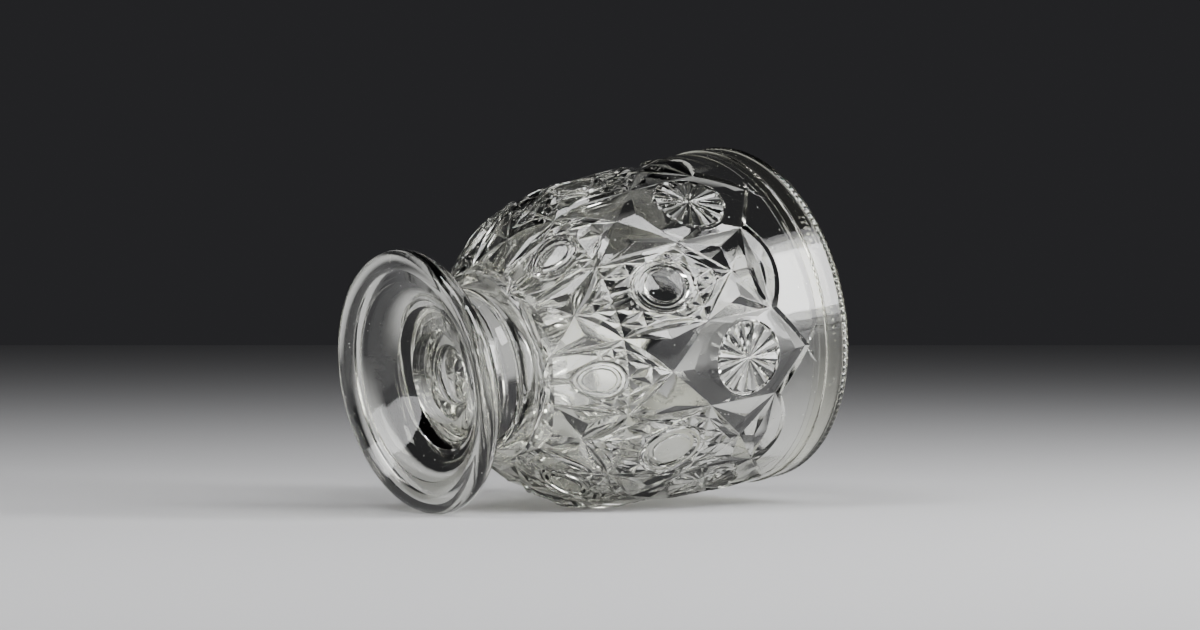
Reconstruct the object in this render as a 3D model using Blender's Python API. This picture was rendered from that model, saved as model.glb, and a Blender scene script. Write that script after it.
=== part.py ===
"""A footed jar of pressed glass, in metres, standing on its foot with +Z up.

The glass is one casting in use. It is divided here where its mould divides: the foot,
the stem, the wafer between stem and bowl, the bowl, and the rim band with its toothed
lip. Each section stops one JOINT short of the next. Every outline runs round a closed
section in the XZ plane and is spun about Z.
"""

from math import cos, pi, radians, sin, tau

import bmesh
import bpy
from mathutils import Vector
from mathutils.geometry import interpolate_bezier

MM = 0.001

# Heights along the axis
HEIGHT = 130.0 * MM
FOOT_HEIGHT = 14.0 * MM
STEM_HEIGHT = 9.2 * MM
WAFER_THICKNESS = 1.3 * MM
RIM_HEIGHT = 11.8 * MM
JOINT = 0.3 * MM

# Foot
FOOT_RADIUS = 41.0 * MM
ROLL_RADIUS = 3.4 * MM
REST_RING_WIDTH = 2.0 * MM
DISH_RADIUS = 31.0 * MM
DISH_RIM_HEIGHT = 3.0 * MM
DISH_ROOF = 2.5 * MM  # glass over the dish where it meets the well
DISH_STEP = 0.7 * MM

# Stem, with the plunger's well running up inside it
STEM_RADIUS = 24.0 * MM
STEM_WAIST = 0.6 * MM
WELL_RADIUS = 14.5 * MM
WELL_SHOULDER_RISE = 1.7 * MM  # from the stem's lower face
CORE_RADIUS = 9.5 * MM
CORE_END = 3.0 * MM  # glass left between the domed end of the well and the stem's top
WAFER_OVERHANG = 1.6 * MM
THROAT_SETBACK = 1.5 * MM
THROAT_RISE = 1.0 * MM

# Bowl
BASE_RADIUS = 29.5 * MM
BASE_RISE = 2.3 * MM
SHOULDER_RADIUS = 51.3 * MM
SHOULDER_RISE = 34.7 * MM
BOWL_RADIUS = 53.6 * MM
WALL = 4.8 * MM
FLOOR = 8.0 * MM

# Rim band
RIDGE_HEIGHT = 1.0 * MM
RIDGE_SETBACK = 2.6 * MM
LIP_THICKNESS = 2.6 * MM
LIP_OVERHANG = 0.7 * MM
TOOTH_DEPTH = 0.5 * MM
TEETH = 144
MOUTH_ROUNDING = (1.0 * MM, 1.5 * MM)

# Handles of the curves, as (outward, upward) steps from the ends they belong to
COVE_AT_ROLL = (-5.0 * MM, -0.4 * MM)
COVE_AT_STEM = (3.0 * MM, -5.0 * MM)
DISH_AT_WELL = (5.0 * MM, -1.6 * MM)
DISH_AT_RIM = (-5.0 * MM, 2.2 * MM)
STEM_AT_FOOT = (-STEM_WAIST, 2.0 * MM)
STEM_AT_WAFER = (-STEM_WAIST, -2.0 * MM)
BELLY_AT_BASE = (6.5 * MM, 7.7 * MM)
BELLY_AT_SHOULDER = (-1.4 * MM, -16.0 * MM)
BODY_AT_SHOULDER = 1.5 * MM
FLOOR_AT_WALL = (-3.0 * MM, -5.0 * MM)

# Facets round each section, and along its curves
ROUND_STEPS = 48
CURVE_STEPS = 7
ARC_STEPS = 5

STEM_BOTTOM = FOOT_HEIGHT + JOINT
STEM_TOP = STEM_BOTTOM + STEM_HEIGHT
WAFER_BOTTOM = STEM_TOP + JOINT
WAFER_TOP = WAFER_BOTTOM + WAFER_THICKNESS
BOWL_BOTTOM = WAFER_TOP + JOINT
RIM_BOTTOM = HEIGHT - RIM_HEIGHT
BOWL_TOP = RIM_BOTTOM - JOINT

GLASS_TINT = (0.86, 0.88, 0.80)
EDGE_TINT = (0.80, 0.83, 0.66)


def arc(centre, radius, start, end, steps=ARC_STEPS):
    """Points (r, z) on an arc from start to end, in degrees, counted from +r towards +z."""
    angles = [radians(start + (end - start) * i / steps) for i in range(steps + 1)]
    return [(centre[0] + radius * cos(a), centre[1] + radius * sin(a)) for a in angles]


def curve(start, leave, arrive, end, steps=CURVE_STEPS):
    """Points (r, z) on one Bezier curve, with its handles given as steps from its two ends."""
    start, leave, arrive, end = (Vector((*pair, 0.0)) for pair in (start, leave, arrive, end))
    return [(p.x, p.y) for p in interpolate_bezier(start, start + leave, end + arrive, end, steps + 1)]


def glass(name, tint):
    """Clear pressed glass of one tint."""
    material = bpy.data.materials.new(name)
    material.use_nodes = True
    shader = material.node_tree.nodes["Principled BSDF"]
    shader.inputs["Base Color"].default_value = (*tint, 1.0)
    shader.inputs["Metallic"].default_value = 0.0
    shader.inputs["Roughness"].default_value = 0.05
    shader.inputs["IOR"].default_value = 1.5
    shader.inputs["Transmission Weight"].default_value = 0.9
    return material


def turned(name, outline, tint, steps=ROUND_STEPS, shape=None):
    """One object: a closed outline of (r, z) points, spun a full turn about Z."""
    mesh = bmesh.new()
    corners = [mesh.verts.new((r, 0.0, z)) for r, z in outline]
    edges = [mesh.edges.new((corners[i - 1], corners[i])) for i in range(len(corners))]
    bmesh.ops.spin(mesh, geom=corners + edges, cent=(0, 0, 0), axis=(0, 0, 1), angle=tau,
                   steps=steps, use_merge=True, use_duplicate=False)
    bmesh.ops.remove_doubles(mesh, verts=mesh.verts[:], dist=1e-6)
    bmesh.ops.dissolve_degenerate(mesh, edges=mesh.edges[:], dist=1e-7)
    bmesh.ops.recalc_face_normals(mesh, faces=mesh.faces[:])
    if shape:
        shape(mesh)
    data = bpy.data.meshes.new(name)
    mesh.to_mesh(data)
    mesh.free()
    data.materials.append(glass(name + "_glass", tint))
    data.shade_smooth()
    data.set_sharp_from_angle(angle=radians(35))
    piece = bpy.data.objects.new(name, data)
    bpy.context.scene.collection.objects.link(piece)
    return piece


def foot():
    """Bell foot: a rolled edge on a narrow rest ring, coved above and dished below."""
    roll = (FOOT_RADIUS - ROLL_RADIUS, ROLL_RADIUS)
    rest_inner = roll[0] - REST_RING_WIDTH
    edge = arc(roll, ROLL_RADIUS, -90, 100)
    cove = curve(edge[-1], COVE_AT_ROLL, COVE_AT_STEM, (STEM_RADIUS, FOOT_HEIGHT))
    dish = curve((WELL_RADIUS, FOOT_HEIGHT - DISH_ROOF), DISH_AT_WELL, DISH_AT_RIM,
                 (DISH_RADIUS, DISH_RIM_HEIGHT + DISH_STEP))
    ledge = [(DISH_RADIUS, DISH_RIM_HEIGHT), (rest_inner, 0.0)]
    turned("foot", edge + cove[1:] + [(WELL_RADIUS, FOOT_HEIGHT)] + dish + ledge, GLASS_TINT)


def stem():
    """Short thick stem, hollowed from below by the well and its narrower domed core."""
    dome_top, shoulder = STEM_TOP - CORE_END, STEM_BOTTOM + WELL_SHOULDER_RISE
    dome = curve((0.0, dome_top), (CORE_RADIUS * 0.6, 0.0), (0.0, (dome_top - shoulder) * 0.7),
                 (CORE_RADIUS, shoulder), ARC_STEPS)
    well = [(WELL_RADIUS, shoulder), (WELL_RADIUS, STEM_BOTTOM)]
    side = curve((STEM_RADIUS, STEM_BOTTOM), STEM_AT_FOOT, STEM_AT_WAFER, (STEM_RADIUS, STEM_TOP), 4)
    turned("stem", dome + well + side + [(0.0, STEM_TOP)], GLASS_TINT)


def wafer():
    """Round-edged wafer that stands proud of the stem, under the bowl."""
    half = WAFER_THICKNESS / 2
    middle = (STEM_RADIUS + WAFER_OVERHANG - half, WAFER_BOTTOM + half)
    edge = arc(middle, half, -90, 90, 4)
    turned("wafer", [(0.0, WAFER_BOTTOM)] + edge + [(0.0, WAFER_TOP)], GLASS_TINT)


def bowl_side():
    """The bowl's outer line, from the edge of its base to its top."""
    base = (BASE_RADIUS, BOWL_BOTTOM + BASE_RISE)
    shoulder = (SHOULDER_RADIUS, base[1] + SHOULDER_RISE)
    belly = curve(base, BELLY_AT_BASE, BELLY_AT_SHOULDER, shoulder, 11)
    reach = (BOWL_TOP - shoulder[1]) / 3
    body = curve(shoulder, (BODY_AT_SHOULDER, reach), (0.0, -reach), (BOWL_RADIUS, BOWL_TOP), 5)
    return belly + body[1:]


def bowl():
    """Deep bowl: a flat base with an undercut throat, a round shoulder and a steep wall."""
    side = bowl_side()
    floor = BOWL_BOTTOM + FLOOR
    wall = [(r - WALL, max(z, floor)) for r, z in side if r - WALL > BASE_RADIUS]
    corner = curve((0.0, floor), (BASE_RADIUS * 0.7, 0.0), FLOOR_AT_WALL, wall[0])
    throat = STEM_RADIUS - THROAT_SETBACK
    under = [(0.0, BOWL_BOTTOM), (throat, BOWL_BOTTOM), (STEM_RADIUS, BOWL_BOTTOM + THROAT_RISE)]
    turned("bowl", under + side + wall[::-1] + corner[::-1][1:], GLASS_TINT)


def rim_band():
    """Plain band over the bowl, with a ridge below and a toothed lip round the mouth."""
    inner = BOWL_RADIUS - WALL
    lip = HEIGHT - LIP_THICKNESS
    ridge = RIM_BOTTOM + RIDGE_SETBACK
    outer = [
        (BOWL_RADIUS, RIM_BOTTOM),
        (BOWL_RADIUS, ridge),
        (BOWL_RADIUS + RIDGE_HEIGHT / 2, ridge + RIDGE_HEIGHT / 2),
        (BOWL_RADIUS, ridge + RIDGE_HEIGHT),
        (BOWL_RADIUS, lip),
        (BOWL_RADIUS + LIP_OVERHANG, lip + LIP_OVERHANG),
        (BOWL_RADIUS + LIP_OVERHANG, HEIGHT - LIP_OVERHANG),
        (BOWL_RADIUS - LIP_OVERHANG, HEIGHT),
    ]

    def cut_teeth(mesh):
        step = pi / TEETH
        for corner in mesh.verts:
            radius = Vector(corner.co[:2]).length
            column = round(Vector((1, 0)).angle_signed(Vector(corner.co[:2])) / step)
            if radius > BOWL_RADIUS + RIDGE_HEIGHT / 2 + 1e-6 and column % 2:
                corner.co.xy *= (radius - TOOTH_DEPTH) / radius

    mouth = [(inner + MOUTH_ROUNDING[0], HEIGHT), (inner, HEIGHT - MOUTH_ROUNDING[1]), (inner, RIM_BOTTOM)]
    turned("rim_band", outer + mouth, EDGE_TINT, steps=2 * TEETH, shape=cut_teeth)


def main():
    for thing in list(bpy.data.objects):
        bpy.data.objects.remove(thing, do_unlink=True)
    foot()
    stem()
    wafer()
    bowl()
    rim_band()


main()
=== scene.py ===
from math import atan2, cos, pi, radians, sin, sqrt, tau

import bmesh
import bpy
from mathutils import Matrix, Vector
from mathutils.geometry import interpolate_bezier


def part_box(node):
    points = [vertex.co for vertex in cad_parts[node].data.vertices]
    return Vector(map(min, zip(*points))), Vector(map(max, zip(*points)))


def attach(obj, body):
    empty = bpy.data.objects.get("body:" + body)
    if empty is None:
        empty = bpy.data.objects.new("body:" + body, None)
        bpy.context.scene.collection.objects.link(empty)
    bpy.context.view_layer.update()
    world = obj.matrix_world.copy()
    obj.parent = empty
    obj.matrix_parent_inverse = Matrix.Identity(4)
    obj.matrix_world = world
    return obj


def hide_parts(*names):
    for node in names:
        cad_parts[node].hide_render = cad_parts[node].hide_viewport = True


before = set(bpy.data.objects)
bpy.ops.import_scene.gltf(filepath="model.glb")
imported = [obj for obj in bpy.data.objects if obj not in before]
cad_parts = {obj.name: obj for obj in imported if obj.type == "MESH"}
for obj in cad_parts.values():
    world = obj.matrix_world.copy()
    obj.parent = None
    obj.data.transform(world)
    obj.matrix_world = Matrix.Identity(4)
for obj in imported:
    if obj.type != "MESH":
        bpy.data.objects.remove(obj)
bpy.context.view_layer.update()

MM = 0.001

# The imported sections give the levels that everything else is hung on.
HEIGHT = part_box("rim_band")[1].z
FOOT_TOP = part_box("foot")[1].z
STEM_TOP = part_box("stem")[1].z
WAFER_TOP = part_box("wafer")[1].z
BOWL_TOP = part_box("bowl")[1].z
FOOT_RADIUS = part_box("foot")[1].x
STEM_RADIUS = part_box("stem")[1].x
WAFER_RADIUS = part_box("wafer")[1].x
BOWL_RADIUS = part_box("bowl")[1].x
SEAM = 0.05 * MM  # hairline between two sections of the glass

# Foot and stem
ROLL_RADIUS = 3.4 * MM
REST_RING_WIDTH = 2.0 * MM
DISH_RADIUS = 31.0 * MM
DISH_RIM_HEIGHT = 3.0 * MM
DISH_STEP = 0.7 * MM
DISH_DEPTH = 11.5 * MM
WELL_RADIUS = 14.5 * MM
WELL_SHOULDER_HEIGHT = 16.0 * MM
CORE_RADIUS = 9.5 * MM
CORE_END = 3.0 * MM
DOME_DROP = 1.0 * MM

# Bowl
BASE = (29.5 * MM, 27.9 * MM)
SHOULDER = (51.3 * MM, 62.6 * MM)
WALL = 4.8 * MM
FLOOR = 8.0 * MM
THROAT_SETBACK = 1.5 * MM
THROAT_HEIGHT = 26.0 * MM
THROAT_LIP = (24.2 * MM, 26.6 * MM)

# Rim band
TEETH = 144
TOOTH_DEPTH = 0.9 * MM  # of a notch, at the full overhang, which the rounded lip stays short of
LIP_OVERHANG = 0.7 * MM
LIP_THICKNESS = 2.6 * MM
LIP_MARGIN = 0.8 * MM  # the last loop of the plain band, this far below the lip
RIDGE_SETBACK = 2.6 * MM
RIDGE_WIDTH = 1.2 * MM
MOUTH_ROUNDING = 1.2 * MM

# Handles of the curves, as (outward, upward) steps from the ends they belong to
COVE_AT_ROLL = (-5.0 * MM, -0.4 * MM)
COVE_AT_STEM = (3.0 * MM, -5.0 * MM)
DISH_AT_WELL = (5.0 * MM, -1.6 * MM)
DISH_AT_RIM = (-5.0 * MM, 2.2 * MM)
STEM_AT_FOOT = (-0.6 * MM, 2.0 * MM)
STEM_AT_WAFER = (-0.6 * MM, -2.0 * MM)
BELLY_AT_BASE = (6.5 * MM, 7.7 * MM)
BELLY_AT_SHOULDER = (-1.4 * MM, -16.0 * MM)
BODY_AT_SHOULDER = 1.5 * MM
UNDER_AT_BASE = (-1.5 * MM, -1.0 * MM)
UNDER_AT_THROAT = (1.3 * MM, 0.3 * MM)
FLOOR_AT_WALL = (-3.0 * MM, -5.0 * MM)
RIDGE_BELOW = (0.7 * MM, 0.2 * MM)
RIDGE_ABOVE = (0.7 * MM, -0.4 * MM)
LIP_BELOW = (LIP_OVERHANG, 0.1 * MM)
LIP_ABOVE = (2 * LIP_OVERHANG, -0.1 * MM)

# Pressed pattern, drawn on a flat sheet that is wrapped on the bowl. A sheet point is (column, row,
# relief): metres round a roller of SHEET_RADIUS, metres up the axis, and metres out of the glass.
SHEET_RADIUS = 50.0 * MM
REPEATS = 6
STEPS = 8  # mesh steps along each mitre
COLUMN = tau / REPEATS / 4 * SHEET_RADIUS  # between neighbouring columns of mitre crossings
DAISY = COLUMN
EYE = -COLUMN
COLUMNS = REPEATS * 4 * STEPS
TIP, CROWN, HIP, WAIST, KNEE = 112.8 * MM, 102.1 * MM, 91.7 * MM, 77.6 * MM, 63.0 * MM
LOWER, ANKLE, SOLE = 48.9 * MM, 38.6 * MM, 31.2 * MM
START = BASE[1]
MITRE = -1.3 * MM  # relief at the bottom of a mitre
SMALL_PEAK = -0.55 * MM
LEAF_WIDTH = 1.5 * MM
LEAF_EDGE = -0.25 * MM
TOE_RISE, BROW_DROP = 7.0 * MM, 4.4 * MM  # tips of the kites in a flower's cell
TIP_RELIEF = -0.75 * MM  # of the mitres where they meet at a tip
BAND_EDGE = BOWL_TOP - 0.8 * MM  # the plain band is one smooth ring from here up
SPUR_REACH = (5.6 * MM, 4.1 * MM)
SPUR_WIDTH = 1.7 * MM
# How far the peak of each three-sided pyramid lies from its upright side towards its tip
UPPER_PEAK, MIDDLE_PEAK, LOWER_PEAK = 0.40, 0.22, 0.34
KITE_RISE = 5.0 * MM
LENS_DROP, LENS_RELIEF = 0.2 * MM, -0.75 * MM
START_RISE = 1.0 * MM  # of the pyramids that close the pattern downwards
START_SHARE = 0.3
ARCH_RISE = 4.2 * MM
ARCH_RELIEF = 0.8 * MM
BAND_LIFT = 1.3 * MM  # from the pattern's upper edge to full thickness
SLOPE_STEP = 0.2 * MM

# The button of a bull's-eye: centre, and half its height and width
LARGE_EYE = ((EYE, 65.7 * MM), 10.2 * MM, 8.2 * MM)
SMALL_EYE = ((DAISY, 41.6 * MM), 6.4 * MM, 5.4 * MM)
FLOWER = ((DAISY, 90.6 * MM), 11.6 * MM)

# Loops of the buttons and flowers, from the outside in: share of the radius, then relief in millimetres
EYE_FACETS = ((1.12, -0.2, (0.0, -0.35, 0.0, 0.2)), (1.03, -0.85, (0.0, 0.0, 0.0, 0.0)))
EYE_RINGS = ((0.97, -0.05), (0.86, 0.0), (0.80, -1.1), (0.68, -1.1), (0.62, -0.1), (0.35, 0.0))
FLOWER_FRAME = ((1.10, -0.25), (1.02, -0.15), (0.985, -0.95))
# Petals: share of the radius, how far their tips are bowed, and how much of their full relief they have
PETAL_LOOPS = ((0.88, 1.0, 1.0), (0.62, 0.0, 1.0), (0.10, 0.0, 0.25))
PETAL_BOW = (0.0, 0.05, 0.075, 0.05)
PETAL_CREST = (-0.95, -0.35, -0.1, -0.35)
PETAL_ROOT = -0.45
FLOWER_HEART = -0.6 * MM


def curve(start, leave, arrive, end, steps):
    """Points (r, z) on one Bezier curve, with its handles given as steps from its two ends."""
    start, leave, arrive, end = (Vector((*pair, 0.0)) for pair in (start, leave, arrive, end))
    return [(p.x, p.y) for p in interpolate_bezier(start, start + leave, end + arrive, end, steps + 1)]


def arc(centre, radius, start, end, steps):
    """Points (r, z) on an arc from start to end, in degrees, counted from +r towards +z."""
    angles = [radians(start + (end - start) * i / steps) for i in range(steps + 1)]
    return [(centre[0] + radius * cos(a), centre[1] + radius * sin(a)) for a in angles]


def bowl_side(steps=60):
    """The bowl's outer line, from the edge of its base to its top."""
    belly = curve(BASE, BELLY_AT_BASE, BELLY_AT_SHOULDER, SHOULDER, steps)
    reach = (BOWL_TOP - SHOULDER[1]) / 3
    body = curve(SHOULDER, (BODY_AT_SHOULDER, reach), (0.0, -reach), (BOWL_RADIUS, BOWL_TOP), steps)
    return belly + body[1:]


SIDE = bowl_side()


def radius_at(height):
    """The bowl's outer radius at a height, read off its outer line."""
    for (r0, z0), (r1, z1) in zip(SIDE, SIDE[1:]):
        if height <= z1:
            return r0 + (r1 - r0) * (height - z0) / (z1 - z0)
    return SIDE[-1][0]


def wrap(point):
    """Puts a point of the flat sheet (column, row, relief) on the bowl."""
    column, row, relief = point
    slope = 0.0
    if START < row < BOWL_TOP:
        slope = (radius_at(row + SLOPE_STEP) - radius_at(row - SLOPE_STEP)) / (2 * SLOPE_STEP)
    length = sqrt(1 + slope * slope)
    radius = radius_at(row) + relief / length
    angle = column / SHEET_RADIUS
    return Vector((radius * cos(angle), radius * sin(angle), row - relief * slope / length))


# ---- the pressed pattern, on a flat sheet


def mitre(a, b, steps=STEPS):
    """Points along one mitre from a up to, but not including, b. Both are (column, row, relief)."""
    a, b = Vector(a), Vector(b)
    return [a.lerp(b, i / steps) for i in range(steps)]


def cell(sheet, *runs):
    """One face from runs of points that follow each other round it."""
    corners = [sheet.verts.new(point) for run in runs for point in run]
    return sheet.faces.new(corners)


def pyramid(sheet, corners, peak, steps=None):
    """A cell raised to one point: a facet for each side."""
    count = len(corners)
    steps = steps or [STEPS] * count
    runs = [mitre(corners[i], corners[(i + 1) % count], steps[i]) for i in range(count)]
    raise_point(sheet, cell(sheet, *runs), peak)


def raise_point(sheet, face, peak):
    """Parts a face into a fan about one point."""
    made = bmesh.ops.poke(sheet, faces=[face])
    made["verts"][0].co = peak


def inner_loop(sheet, face, place):
    """Insets a face by one loop and sets each new corner with place(index, corner outside it)."""
    outer = [corner.co.copy() for corner in face.verts]
    bmesh.ops.inset_individual(sheet, faces=[face], thickness=1e-5, use_even_offset=False)
    for index, corner in enumerate(face.verts):
        corner.co = place(index, outer[index])


def oval(centre, row_radius, column_radius):
    """A function that puts a point on an oval of the sheet, keeping its direction from the centre."""
    stretch = SHEET_RADIUS / radius_at(centre[1])

    def place(toward, relief, share=1.0):
        across = (toward[0] - centre[0]) / stretch / column_radius
        up = (toward[1] - centre[1]) / row_radius
        size = share / sqrt(across * across + up * up)
        return Vector((centre[0] + across * size * column_radius * stretch,
                       centre[1] + up * size * row_radius, relief))

    return place


def flower_cell(sheet):
    """The six-sided cell of a flower: long facets meet in a kite at its bottom and top corners, and
    what is left is returned as one face whose points are counted from its lowest."""
    steps = STEPS * 3 // 2
    corners = six_corners(DAISY, KNEE, WAIST, CROWN, TIP)
    bottom, low_right, high_right, peak, high_left, low_left = corners
    top = (*peak[:2], TIP_RELIEF)
    toe, brow = (DAISY, KNEE + TOE_RISE, 0.0), (DAISY, TIP - BROW_DROP, 0.0)
    for end, tip, side in ((bottom, toe, low_right), (top, brow, high_left)):
        cell(sheet, mitre(end, side), mitre(side, tip, steps), [Vector(tip)])
    for end, tip, side in ((bottom, toe, low_left), (top, brow, high_right)):
        cell(sheet, [Vector(tip)], mitre(tip, side, steps)[1:], mitre(side, end), [Vector(end)])
    return cell(sheet, mitre(toe, low_right, steps), mitre(low_right, high_right),
                mitre(high_right, brow, steps), mitre(brow, high_left, steps),
                mitre(high_left, low_left), mitre(low_left, toe, steps))


def cut(sheet, faces, start, end):
    """Cuts faces along the straight line through two points of the sheet, and returns all the pieces."""
    corners = {corner for face in faces for corner in face.verts}
    edges = {edge for face in faces for edge in face.edges}
    made = bmesh.ops.bisect_plane(sheet, geom=[*corners, *edges, *faces], dist=1e-6, plane_co=start,
                                  plane_no=(end[1] - start[1], start[0] - end[0], 0.0))
    return [piece for piece in made["geom"] if isinstance(piece, bmesh.types.BMFace)]


def six_corners(column, bottom, low, high, top):
    """The corners of a six-sided cell, from its lowest round to the right."""
    left, right = column - COLUMN, column + COLUMN
    corners = [(column, bottom), (right, low), (right, high), (column, top), (left, high), (left, low)]
    return [(*corner, MITRE if corner[1] > START else 0.0) for corner in corners]


def leaf_borders(sheet, face, corners):
    """Widens the mitres round a face into half leaves, full halfway along and nothing at their ends."""
    def place(index, outside):
        side, step = divmod(index, STEPS)
        run = Vector(corners[side]) - Vector(corners[side - 1])
        bow = sin(pi * step / STEPS)
        inward = Vector((-run.y, run.x, 0.0)).normalized() * LEAF_WIDTH * bow
        return outside + inward + Vector((0.0, 0.0, (LEAF_EDGE - outside.z) * bow))

    inner_loop(sheet, face, place)


def middles_of(piece, on_rim):
    """The middles of a three-sided piece's sides. Its side on the cell's rim is bowed, and its other
    corners are where mitres cross."""
    outer = [corner.co.copy() for corner in piece.verts if on_rim(corner)]
    inner = [corner.co.copy() for corner in piece.verts if not on_rim(corner)]
    ends = max(((a, b) for a in outer for b in outer), key=lambda pair: (pair[0] - pair[1]).length)
    corners = outer + inner if len(outer) == 1 else [*ends, *inner]
    middles = [(corners[i - 1] + corners[i]) / 2 for i in range(3)]
    if len(outer) > 1:
        middles[1] = min(outer, key=lambda point: (point - middles[1]).length)
    return middles


def bulls_eye_cell(sheet, corners, centre, row_radius, column_radius):
    """A six-sided cell crossed by a mitre past each corner. The crossings frame a ringed button, and the
    three-sided pieces round them are cut again into four small points each."""
    face = cell(sheet, *[mitre(corners[i - 1], corners[i]) for i in range(6)])
    leaf_borders(sheet, face, corners)
    rim = {corner.co.to_tuple(6) for corner in face.verts}

    def on_rim(corner):
        return corner.co.to_tuple(6) in rim

    pieces = [face]
    for i in range(6):
        pieces = cut(sheet, pieces, corners[i - 2], corners[i])
    eye = next(piece for piece in pieces if not any(on_rim(corner) for corner in piece.verts))
    outside = [piece for piece in pieces if piece is not eye]
    for piece, middles in [(piece, middles_of(piece, on_rim)) for piece in outside]:
        parts = [piece]
        for i in range(3):
            parts = cut(sheet, parts, middles[i - 1], middles[i])
        for part in parts:
            middle = part.calc_center_median_weighted()
            raise_point(sheet, part, (middle.x, middle.y, SMALL_PEAK))
    bulls_eye(sheet, eye, centre, row_radius, column_radius)


def bulls_eye(sheet, face, centre, row_radius, column_radius):
    """A ringed button that fills a face, with a row of small facets outside it."""
    bmesh.ops.subdivide_edges(sheet, edges=face.edges[:], cuts=3)
    ring = oval(centre, row_radius, column_radius)
    for share, relief, crest in EYE_FACETS:
        inner_loop(sheet, face,
                   lambda index, outside: ring(outside, (relief + crest[index % 4]) * MM, share))
    for share, relief in EYE_RINGS:
        inner_loop(sheet, face, lambda index, outside: ring(outside, relief * MM, share))
    raise_point(sheet, face, (*centre, 0.0))


def daisy(sheet, face, centre, radius):
    """A framed round flower of narrow petals, four mesh steps to a petal."""
    count = len(face.verts)
    flat = oval(centre, radius, radius)

    def ring(index, relief, share):
        turn = -pi / 2 + tau * index / count
        across = cos(turn) * SHEET_RADIUS / radius_at(centre[1])
        return flat((centre[0] + across, centre[1] + sin(turn)), relief, share)

    def petal(index, share, tips, depth):
        relief = PETAL_CREST[index % 4] * depth + PETAL_ROOT * (1 - depth)
        return ring(index, relief * MM, share + tips * PETAL_BOW[index % 4])

    for share, relief in FLOWER_FRAME:
        inner_loop(sheet, face, lambda index, outside: ring(index, relief * MM, share))
    for loop in PETAL_LOOPS:
        inner_loop(sheet, face, lambda index, outside: petal(index, *loop))
    raise_point(sheet, face, (*centre, FLOWER_HEART))


def triangles(sheet):
    """The three-sided pyramids between the six-sided cells, in mirrored pairs."""
    for centre, side in ((EYE, 1), (EYE, -1), (DAISY, 1), (DAISY, -1)):
        edge = centre + side * COLUMN
        if centre == EYE:
            sets = (((centre, HIP), (edge, WAIST), (edge, CROWN), UPPER_PEAK),
                    ((centre, ANKLE), (edge, SOLE), (edge, LOWER), LOWER_PEAK))
        else:
            sets = (((centre, KNEE), (edge, LOWER), (edge, WAIST), MIDDLE_PEAK),)
        for tip, low, high, share in sets:
            corners = [(*p, MITRE) for p in ((tip, low, high) if side > 0 else (tip, high, low))]
            middle = (low[1] + high[1]) / 2
            peak = Vector((edge, middle, 0.0)).lerp(Vector((*tip, 0.0)), share)
            pyramid(sheet, corners, peak)


def crown_cells(sheet):
    """The cell over each hip: a kite, then a lens under an arched mitre, which starts the plain band."""
    left, right = (EYE - COLUMN, CROWN, MITRE), (EYE + COLUMN, CROWN, MITRE)
    hip, brow = (EYE, HIP, MITRE), (EYE, HIP + KITE_RISE, 0.0)
    cell(sheet, mitre(hip, right), mitre(right, brow), [Vector(brow)])
    cell(sheet, [Vector(brow)], mitre(brow, left)[1:], mitre(left, hip), [Vector(hip)])
    face = cell(sheet, mitre(brow, right), [arch(column) for column in columns_over(right, left)],
                mitre(left, brow))
    raise_point(sheet, face, (EYE, CROWN - LENS_DROP, LENS_RELIEF))


def columns_over(right, left):
    """The columns of an arch's points, from its right end up to, but not including, its left."""
    count = 2 * STEPS
    return [right[0] + (left[0] - right[0]) * i / count for i in range(count)]


def arch(column):
    """The arched mitre between two crowns."""
    share = (column - EYE) / COLUMN
    rise = 1 - share * share
    return Vector((column, CROWN + ARCH_RISE * rise, MITRE + ARCH_RELIEF * rise))


def top_edge(column):
    """The pattern's upper edge at a column of the repeat: the arch, or a mitre up to the tip."""
    if column <= EYE + COLUMN:
        return arch(column)
    share = 1 - abs(column - DAISY) / COLUMN
    return Vector((column, CROWN + (TIP - CROWN) * share, MITRE + (TIP_RELIEF - MITRE) * share))


def foot_cells(sheet):
    """The cells that close the pattern down to its plain start ring."""
    for side in (1, -1):
        edge = DAISY + side * COLUMN
        corners = [(edge, SOLE, MITRE), (DAISY, START, 0.0), (edge, START, 0.0)]
        steps = [STEPS, STEPS, 2]
        pyramid(sheet, corners, (edge - side * START_SHARE * COLUMN, START + START_RISE, 0.0), steps)
    left, right = EYE - COLUMN, EYE + COLUMN
    corners = [(EYE, START, 0.0), (right, START, 0.0), (right, SOLE, MITRE), (EYE, ANKLE, MITRE),
               (left, SOLE, MITRE), (left, START, 0.0)]
    pyramid(sheet, corners, (EYE, SOLE + START_RISE, 0.0), [STEPS, 2, STEPS, STEPS, 2, STEPS])


def plain_band(sheet):
    """Smooth glass from the pattern's upper edge to the bowl's top."""
    rows = 4
    low = EYE - COLUMN
    line = [top_edge(low + COLUMN * i / STEPS) for i in range(4 * STEPS + 1)]
    corners = [sheet.verts.new(point) for point in line]
    edges = [sheet.edges.new(pair) for pair in zip(corners, corners[1:])]
    for row in range(rows + 2):
        made = bmesh.ops.extrude_edge_only(sheet, edges=edges)["geom"]
        edges = [e for e in made if isinstance(e, bmesh.types.BMEdge)]
        for corner in {v for e in edges for v in e.verts}:
            start = top_edge(corner.co.x).y + BAND_LIFT
            corner.co.y = start + (BAND_EDGE - start) * row / rows if row <= rows else BOWL_TOP
            corner.co.z = 0.0


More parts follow.
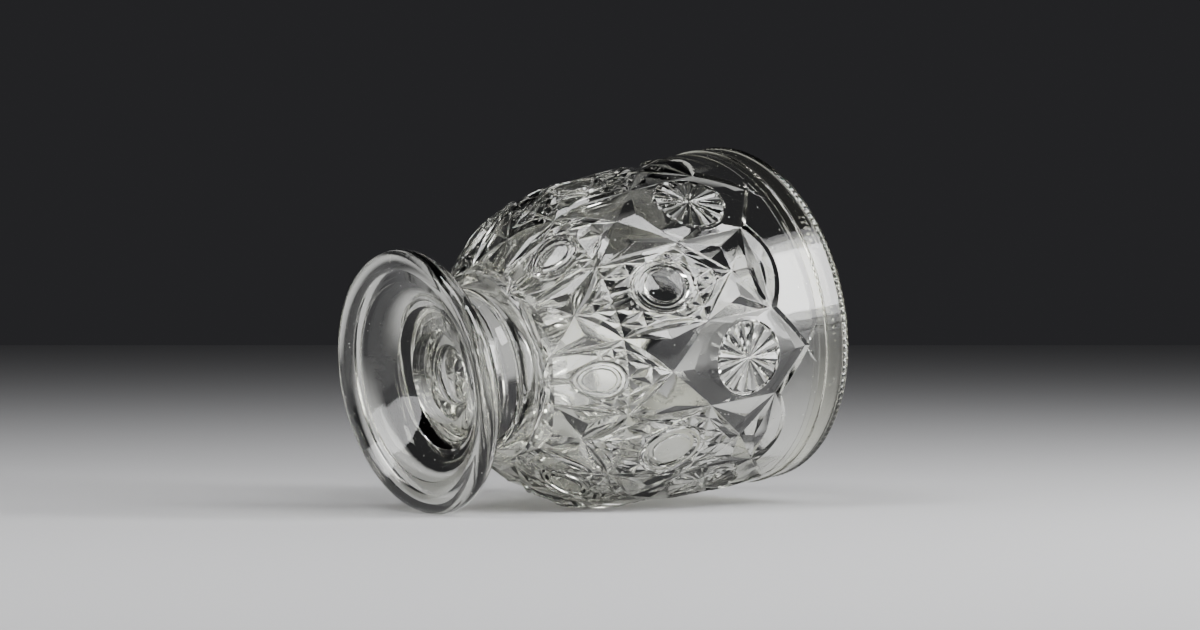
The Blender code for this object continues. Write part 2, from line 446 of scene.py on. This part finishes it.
def spurs(sheet):
    """Two short leaf cuts that carry the mitres on past each tip, over the plain band."""
    for side in (1, -1):
        start = Vector((DAISY, TIP, 0.0))
        run = Vector((side * SPUR_REACH[0], SPUR_REACH[1], 0.0))
        end, middle = start + run, start + run / 2
        wide = Vector((-run.y, run.x, 0.0)).normalized() * SPUR_WIDTH / 2
        band = [face for face in sheet.faces if TIP < face.calc_center_median().y < BAND_EDGE
                and 0 < side * (face.calc_center_median().x - DAISY) < SPUR_REACH[0] + COLUMN / STEPS]
        for a, b in ((start, middle + wide), (start, middle - wide), (middle + wide, end),
                     (middle - wide, end), (start, end)):
            band = cut(sheet, band, a, b)
        for corner in {corner for face in band for corner in face.verts}:
            offset = corner.co - start
            along = offset.xy.dot(run.xy) / run.length_squared
            aside = abs(offset.xy.cross(run.xy.normalized()))
            if 0 < along < 1 and aside < 2e-6:
                corner.co.z = min(corner.co.z, TIP_RELIEF * (1 - along))


def pressed_sheet():
    """One repeat of the pattern on the flat sheet, copied round the bowl and wrapped on it."""
    sheet = bmesh.new()
    bulls_eye_cell(sheet, six_corners(EYE, ANKLE, LOWER, WAIST, HIP), *LARGE_EYE)
    bulls_eye_cell(sheet, six_corners(DAISY, START, SOLE, LOWER, KNEE), *SMALL_EYE)
    daisy(sheet, flower_cell(sheet), *FLOWER)
    triangles(sheet)
    crown_cells(sheet)
    foot_cells(sheet)
    plain_band(sheet)
    bmesh.ops.remove_doubles(sheet, verts=sheet.verts[:], dist=1e-6)
    spurs(sheet)
    once = sheet.verts[:] + sheet.edges[:] + sheet.faces[:]
    for turn in range(1, REPEATS):
        made = bmesh.ops.duplicate(sheet, geom=once)["geom"]
        bmesh.ops.translate(sheet, verts=[g for g in made if isinstance(g, bmesh.types.BMVert)],
                            vec=(4 * COLUMN * turn, 0.0, 0.0))
    for corner in sheet.verts:
        corner.co = wrap(corner.co)
    return sheet


# ---- turned glass


def spin_outline(mesh, outline, columns, closed):
    """Spins a line of (r, z) points a full turn about the axis."""
    corners = [mesh.verts.new((r, 0.0, z)) for r, z in outline]
    edges = [mesh.edges.new(pair) for pair in zip(corners, corners[1:])]
    if closed:
        edges.append(mesh.edges.new((corners[-1], corners[0])))
    bmesh.ops.spin(mesh, geom=corners + edges, cent=(0, 0, 0), axis=(0, 0, 1), angle=tau,
                   steps=columns, use_merge=True, use_duplicate=False)


def finished(name, mesh, finish, crease, joints, *nodes):
    """Closes a mesh, makes it an object and lets it stand for its CAD nodes. The faces at its joints'
    levels are where the glass runs on into the next section, so they don't bend light."""
    bmesh.ops.remove_doubles(mesh, verts=mesh.verts[:], dist=2e-6)
    bmesh.ops.dissolve_degenerate(mesh, edges=mesh.edges[:], dist=1e-7)
    bmesh.ops.recalc_face_normals(mesh, faces=mesh.faces[:])
    for face in mesh.faces:
        heights = [corner.co.z for corner in face.verts]
        face.material_index = any(max(heights) < joint + 2 * SEAM and min(heights) > joint - 2 * SEAM
                                  for joint in joints)
    data = bpy.data.meshes.new(name)
    mesh.to_mesh(data)
    mesh.free()
    data.materials.append(finish)
    data.materials.append(inside_joint())
    data.shade_smooth()
    data.set_sharp_from_angle(angle=radians(crease))
    piece = bpy.data.objects.new(name, data)
    bpy.context.scene.collection.objects.link(piece)
    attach(piece, "root")
    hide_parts(*nodes)
    return piece


def bowl(finish):
    mesh = pressed_sheet()
    bottom = WAFER_TOP + SEAM
    throat = STEM_RADIUS - THROAT_SETBACK
    under = curve(BASE, UNDER_AT_BASE, UNDER_AT_THROAT, THROAT_LIP, 6)
    under += [(throat, THROAT_HEIGHT), (throat, bottom), (0.0, bottom)]
    spin_outline(mesh, under, COLUMNS, False)
    floor = bottom + FLOOR
    wall = [(r - WALL, max(z, floor)) for r, z in bowl_side(14) if r - WALL > BASE[0]]
    corner = curve(wall[0], FLOOR_AT_WALL, (BASE[0] * 0.7, 0.0), (0.0, floor), 16)
    spin_outline(mesh, [SIDE[-1]] + wall[::-1] + corner[1:], COLUMNS, False)
    bmesh.ops.rotate(mesh, verts=mesh.verts[:], cent=(0, 0, 0),
                     matrix=Matrix.Rotation(facing(), 3, "Z"))
    return finished("bowl_glass", mesh, finish, 12, (WAFER_TOP, BOWL_TOP), "bowl")


def foot(finish):
    roll = (FOOT_RADIUS - ROLL_RADIUS, ROLL_RADIUS)
    edge = arc(roll, ROLL_RADIUS, -90, 100, 16)
    cove = curve(edge[-1], COVE_AT_ROLL, COVE_AT_STEM, (STEM_RADIUS, FOOT_TOP), 20)
    dish = curve((WELL_RADIUS, DISH_DEPTH), DISH_AT_WELL, DISH_AT_RIM,
                 (DISH_RADIUS, DISH_RIM_HEIGHT + DISH_STEP), 20)
    ledge = [(DISH_RADIUS, DISH_RIM_HEIGHT), (roll[0] - REST_RING_WIDTH, 0.0)]
    mesh = bmesh.new()
    spin_outline(mesh, edge + cove[1:] + [(WELL_RADIUS, FOOT_TOP)] + dish + ledge, COLUMNS, True)
    return finished("foot_glass", mesh, finish, 30, (FOOT_TOP,), "foot")


def stem(finish):
    low, high = FOOT_TOP + SEAM, STEM_TOP
    top, shoulder = high - CORE_END, WELL_SHOULDER_HEIGHT
    dome = curve((0.0, top), (CORE_RADIUS * 0.6, 0.0), (0.0, top - DOME_DROP - shoulder),
                 (CORE_RADIUS, shoulder), 12)
    well = [(WELL_RADIUS, shoulder), (WELL_RADIUS, low)]
    side = curve((STEM_RADIUS, low), STEM_AT_FOOT, STEM_AT_WAFER, (STEM_RADIUS, high), 10)
    mesh = bmesh.new()
    spin_outline(mesh, dome + well + side + [(0.0, high)], COLUMNS, False)
    return finished("stem_glass", mesh, finish, 30, (FOOT_TOP, STEM_TOP), "stem")


def wafer(finish):
    low = STEM_TOP + SEAM
    half = (WAFER_TOP - low) / 2
    edge = arc((WAFER_RADIUS - half, low + half), half, -90, 90, 10)
    mesh = bmesh.new()
    spin_outline(mesh, [(0.0, low)] + edge + [(0.0, WAFER_TOP)], COLUMNS, False)
    return finished("wafer_glass", mesh, finish, 30, (STEM_TOP, WAFER_TOP), "wafer")


def rim_band(finish):
    low = BOWL_TOP + SEAM
    inner = BOWL_RADIUS - WALL
    lip = HEIGHT - LIP_THICKNESS
    ridge = low + RIDGE_SETBACK
    outer = [(BOWL_RADIUS, low)]
    outer += curve((BOWL_RADIUS, ridge), RIDGE_BELOW, RIDGE_ABOVE, (BOWL_RADIUS, ridge + RIDGE_WIDTH), 6)
    outer += [(BOWL_RADIUS, (ridge + lip) / 2), (BOWL_RADIUS, lip - LIP_MARGIN)]
    outer += curve((BOWL_RADIUS, lip), LIP_BELOW, LIP_ABOVE, (BOWL_RADIUS - LIP_OVERHANG, HEIGHT), 10)
    mouth = arc((inner + MOUTH_ROUNDING, HEIGHT - MOUTH_ROUNDING), MOUTH_ROUNDING, 90, 180, 6)
    mouth += [(inner, low)]
    mesh = bmesh.new()
    spin_outline(mesh, outer + mouth, 4 * TEETH, True)
    for corner in mesh.verts:
        radius = corner.co.xy.length
        proud = (radius - BOWL_RADIUS) / LIP_OVERHANG
        if corner.co.z > lip and proud > 0:
            angle = atan2(corner.co.y, corner.co.x)
            corner.co.xy *= 1 - TOOTH_DEPTH * proud * (1 - abs(sin(TEETH * angle / 2))) / radius
    return finished("rim_glass", mesh, finish, 20, (BOWL_TOP,), "rim_band")


# ---- finish

CLEAR_TINT = (0.965, 0.97, 0.915)
STRAW_TINT = (0.94, 0.945, 0.81)
WAVE_SCALE = 220.0  # these three count features to the metre
GRAIN_SCALE = 2600.0
DUST_SCALE = 520.0
DUST_SHARE = 0.22  # of the dust pattern's cells
DUST_SIZE = 0.09
CREASE_RADIUS = 0.2 * MM
# how sharply the creases' frosting and painted sheen rise where the rounded normal leaves the true one
CREASE_SHEEN_GAIN = 8.0


class Value:
    """A shader socket that takes arithmetic."""

    def __init__(self, finish, socket):
        self.finish, self.socket = finish, socket

    def output(self, name):
        """Another output of the node that this socket is on."""
        return Value(self.finish, self.socket.node.outputs[name])

    def math(self, operation, *others):
        return self.finish.node("ShaderNodeMath", {"operation": operation}, [self, *others])

    def __add__(self, other):
        return self.math("ADD", other)

    def __rsub__(self, other):
        return self.finish.node("ShaderNodeMath", {"operation": "SUBTRACT"}, [other, self])

    def __mul__(self, other):
        return self.math("MULTIPLY", other)

    __radd__, __rmul__ = __add__, __mul__


class Finish:
    """One procedural material and the nodes in it."""

    def __init__(self, name):
        self.material = bpy.data.materials.new(name)
        self.material.use_nodes = True
        self.nodes = self.material.node_tree.nodes
        self.links = self.material.node_tree.links
        self.shader = self.nodes["Principled BSDF"]

    def put(self, socket, value):
        if isinstance(value, Value):
            self.links.new(value.socket, socket)
        else:
            socket.default_value = value

    def node(self, kind, settings, inputs, output=0):
        made = self.nodes.new(kind)
        for key, value in settings.items():
            setattr(made, key, value)
        named = inputs.items() if isinstance(inputs, dict) else enumerate(inputs)
        for key, value in named:
            self.put(made.inputs[key], value)
        return Value(self, made.outputs[output])


def clear_glass(name, tint):
    """Fire-polished pressed glass: faint waves, mould texture and specks of dust, with creases that are
    a little rounded and frosted, and a painted sheen along them that shows them as bright lines."""
    finish = Finish(name)
    place = finish.node("ShaderNodeTexCoord", {}, {}, "Object")
    waves = finish.node("ShaderNodeTexNoise", {}, {"Vector": place, "Scale": WAVE_SCALE, "Detail": 2.0})
    grain = finish.node("ShaderNodeTexNoise", {}, {"Vector": place, "Scale": GRAIN_SCALE, "Detail": 2.0})
    cells = finish.node("ShaderNodeTexVoronoi", {}, {"Vector": place, "Scale": DUST_SCALE})
    pick = finish.node("ShaderNodeTexWhiteNoise", {}, {"Vector": cells.output("Position")})
    dust = pick.math("GREATER_THAN", 1.0 - DUST_SHARE) * cells.math("LESS_THAN", DUST_SIZE)
    rounded = finish.node("ShaderNodeBevel", {"samples": 4}, {"Radius": CREASE_RADIUS})
    straight = finish.node("ShaderNodeNewGeometry", {}, {}, "Normal")
    agree = finish.node("ShaderNodeVectorMath", {"operation": "DOT_PRODUCT"}, [rounded, straight], "Value")
    # Crease mask: its roughness frosts the creases, and its metallic part paints a sheen on them so they
    # show as bright lines
    crease = (CREASE_SHEEN_GAIN - CREASE_SHEEN_GAIN * agree).math("MINIMUM", 1.0)
    bump = finish.node("ShaderNodeBump", {}, {"Strength": 0.06, "Distance": 0.4 * MM,
                                              "Height": waves + 0.15 * grain, "Normal": rounded})
    finish.put(finish.shader.inputs["Normal"], bump)
    finish.put(finish.shader.inputs["Roughness"], 0.03 * grain + 0.005 + 0.5 * dust + 0.2 * crease)
    # Metallic on the creases is a painted sheen; on the dust specks it is part of the dust
    finish.put(finish.shader.inputs["Metallic"], 0.7 * dust + 0.45 * crease)
    for socket, value in (("Base Color", (*tint, 1.0)), ("IOR", 1.5), ("Transmission Weight", 1.0)):
        finish.put(finish.shader.inputs[socket], value)
    return finish.material


def inside_joint():
    """The joint faces, which light passes straight through."""
    if "inside_joint" not in bpy.data.materials:
        finish = Finish("inside_joint")
        finish.put(finish.shader.inputs["Alpha"], 0.0)
    return bpy.data.materials["inside_joint"]


# ---- the studio

OFF_TABLE = Vector((1.0, -1.0, 0.0)).normalized()  # from the axis to the side that lies uppermost
# The axis is tipped up by this off the table, which the foot rests on. The shoulder would rest on it too
# at 10 degrees, and here it passes 0.8 mm through it.
LEAN = radians(9.2)
SIGHT_TURN = radians(36.0)
SIGHT_DROP = radians(0.8)
SIGHT_DISTANCE = 1.215
AIM_RIGHT, AIM_UP = 58.3 * MM, 21.0 * MM  # the middle of the view, from the middle of the foot
LENS = 120.0
TABLE_SIZE = (6.0, 4.8)
TABLE_GREY = (0.45, 0.45, 0.46, 1.0)
ROOM_GREY = (0.022, 0.022, 0.024, 1.0)
# Soft boxes: degrees to the right and up, metres off, width and height in metres, watts
SOFT_BOXES = {
    "right_core": (75, 22, 0.74, 0.15, 0.42, 3.2),
    "right_middle": (75, 22, 0.75, 0.22, 0.56, 2.6),
    "right_edge": (75, 22, 0.76, 0.29, 0.70, 2.4),
    "left_box": (-70, 9, 0.75, 0.24, 0.34, 2.0),
    "front_box": (42, 48, 0.9, 0.40, 0.40, 8.0),
    "high_box": (-35, 55, 0.9, 0.40, 0.30, 6.0),
}


def lying_axes():
    """Up from the table, along the table under the jar's axis, and across it."""
    axis = Vector((0.0, 0.0, 1.0))
    up = OFF_TABLE * cos(LEAN) + axis * sin(LEAN)
    along = axis * cos(LEAN) - OFF_TABLE * sin(LEAN)
    return up, along, up.cross(along)


def view_axes():
    """Right, head and sight of the camera."""
    up, along, across = lying_axes()
    level = along * sin(SIGHT_TURN) + across * cos(SIGHT_TURN)
    right = along * cos(SIGHT_TURN) - across * sin(SIGHT_TURN)
    sight = level * cos(SIGHT_DROP) - up * sin(SIGHT_DROP)
    head = up * cos(SIGHT_DROP) + level * sin(SIGHT_DROP)
    return right, head, sight


def facing():
    """The azimuth of the side of the bowl that faces the camera, where column 0 of the pattern is."""
    sight = view_axes()[2]
    return atan2(-sight.y, -sight.x)


def camera():
    right, head, sight = view_axes()
    data = bpy.data.cameras.new("camera")
    data.lens, data.clip_end = LENS, 50.0
    eye = bpy.data.objects.new("camera", data)
    bpy.context.scene.collection.objects.link(eye)
    place = right * AIM_RIGHT + head * AIM_UP - sight * SIGHT_DISTANCE
    eye.matrix_world = Matrix.Translation(place) @ Matrix((right, head, -sight)).transposed().to_4x4()
    bpy.context.scene.camera = eye


def soft_light(name, turn, rise, distance, width, height, power):
    """A soft box, turned to the right of the camera's sight line and raised, both in degrees."""
    up, along, across = lying_axes()
    back = -(along * sin(SIGHT_TURN) + across * cos(SIGHT_TURN))
    right = view_axes()[0]
    turn, rise = radians(turn), radians(rise)
    reach = (back * cos(turn) + right * sin(turn)) * cos(rise) + up * sin(rise)
    middle = Vector((0.0, 0.0, HEIGHT / 2))
    data = bpy.data.lights.new(name, "AREA")
    data.shape, data.size, data.size_y, data.energy = "RECTANGLE", width, height, power
    light = bpy.data.objects.new(name, data)
    bpy.context.scene.collection.objects.link(light)
    side = up.cross(reach).normalized()
    light.matrix_world = (Matrix.Translation(middle + reach * distance)
                          @ Matrix((side, reach.cross(side), reach)).transposed().to_4x4())
    light.visible_camera = False


def backdrop(name, place, axes, size, colour):
    """A plain sheet, seen from its front only."""
    mesh = bmesh.new()
    bmesh.ops.create_grid(mesh, x_segments=1, y_segments=1, size=1.0)
    mesh.transform(Matrix.Translation(place) @ Matrix(axes).transposed().to_4x4()
                   @ Matrix.Diagonal((size[0] / 2, size[1] / 2, 1.0, 1.0)))
    data = bpy.data.meshes.new(name)
    mesh.to_mesh(data)
    mesh.free()
    sheet = bpy.data.objects.new(name, data)
    bpy.context.scene.collection.objects.link(sheet)
    paint = Finish(name)
    paint.put(paint.shader.inputs["Base Color"], colour)
    paint.put(paint.shader.inputs["Roughness"], 0.9)
    clear = paint.nodes.new("ShaderNodeBsdfTransparent")
    side = paint.node("ShaderNodeNewGeometry", {}, {}, "Backfacing")
    mixed = paint.nodes.new("ShaderNodeMixShader")
    paint.put(mixed.inputs[0], side)
    paint.links.new(paint.shader.outputs[0], mixed.inputs[1])
    paint.links.new(clear.outputs[0], mixed.inputs[2])
    paint.links.new(mixed.outputs[0], paint.nodes["Material Output"].inputs["Surface"])
    data.materials.append(paint.material)


def studio():
    """The jar lies on a pale table in a dark room, lit by soft boxes."""
    up = lying_axes()[0]
    right = view_axes()[0]
    roll = Vector((0.0, 0.0, ROLL_RADIUS)) - OFF_TABLE * (FOOT_RADIUS - ROLL_RADIUS)
    touch = roll - up * ROLL_RADIUS
    backdrop("pale_table", touch, (right, up.cross(right), up), TABLE_SIZE, TABLE_GREY)
    world = bpy.data.worlds.new("studio")
    bpy.context.scene.world = world
    world.use_nodes = True
    world.node_tree.nodes["Background"].inputs["Color"].default_value = ROOM_GREY
    world.node_tree.nodes["Background"].inputs["Strength"].default_value = 1.0
    for name, settings in SOFT_BOXES.items():
        soft_light(name, *settings)


def main():
    clear = clear_glass("clear_glass", CLEAR_TINT)
    straw = clear_glass("straw_glass", STRAW_TINT)
    for piece in (foot(clear), stem(clear), wafer(clear), bowl(clear)):
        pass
    rim_band(straw)
    camera()
    studio()


main()
